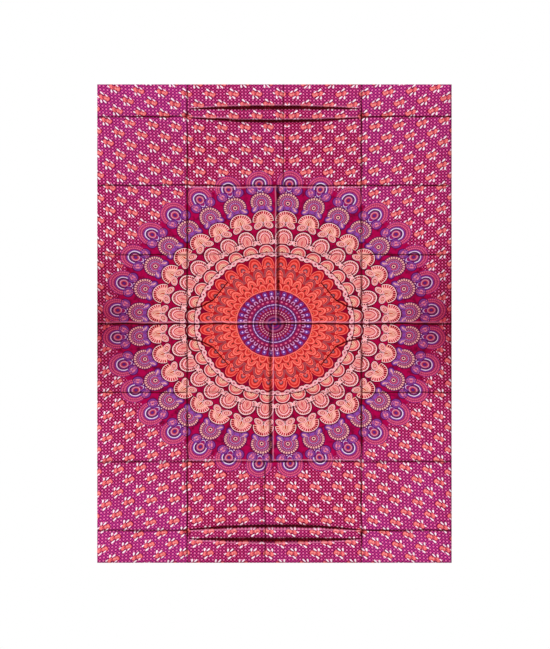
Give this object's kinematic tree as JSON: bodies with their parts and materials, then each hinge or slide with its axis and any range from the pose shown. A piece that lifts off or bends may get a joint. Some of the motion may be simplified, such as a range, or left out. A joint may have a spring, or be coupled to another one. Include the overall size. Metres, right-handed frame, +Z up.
{
  "type": "tapestry wall hanging",
  "caption": "Upright printed cotton cloth with a round peacock-fan mandala, hemmed all round, hung from its top hem and folding up on its centre crease.",
  "frame": {"origin": "on the back of the top hem, midway along it and halfway up it, which is where it is pinned to the wall", "axes": "+Z up the cloth, +Y out of its back into the wall, +X to the right seen from the front"},
  "size_m": [1.4, 0.0012, 1.89],
  "materials": {
    "printed_cotton": "matt plain-weave cotton, printed on the front in magenta, crimson, coral, pink, cream and violet",
    "hem_cotton": "matt plain-weave cotton, the paler back of the print, turned in twice",
    "sewing_thread": "dull spun polyester-cotton thread, dark wine red"
  },
  "bodies": {
    "upper_half": {"upper_cloth": "printed_cotton", "top_hem": "hem_cotton", "top_needle_thread": "sewing_thread", "top_bobbin_thread": "sewing_thread", "left_upper_hem": "hem_cotton", "left_upper_needle_thread": "sewing_thread", "left_upper_bobbin_thread": "sewing_thread", "right_upper_hem": "hem_cotton", "right_upper_needle_thread": "sewing_thread", "right_upper_bobbin_thread": "sewing_thread"},
    "lower_half": {"lower_cloth": "printed_cotton", "bottom_hem": "hem_cotton", "bottom_needle_thread": "sewing_thread", "bottom_bobbin_thread": "sewing_thread", "left_lower_hem": "hem_cotton", "left_lower_needle_thread": "sewing_thread", "left_lower_bobbin_thread": "sewing_thread", "right_lower_hem": "hem_cotton", "right_lower_needle_thread": "sewing_thread", "right_lower_bobbin_thread": "sewing_thread"}
  },
  "joints": [
    {"name": "centre_fold", "type": "hinge", "parent": "upper_half", "child": "lower_half", "pos_m": [0, -0.00255, -0.939], "axis": [-1, 0, 0], "range_deg": [0, 170]}
  ]
}
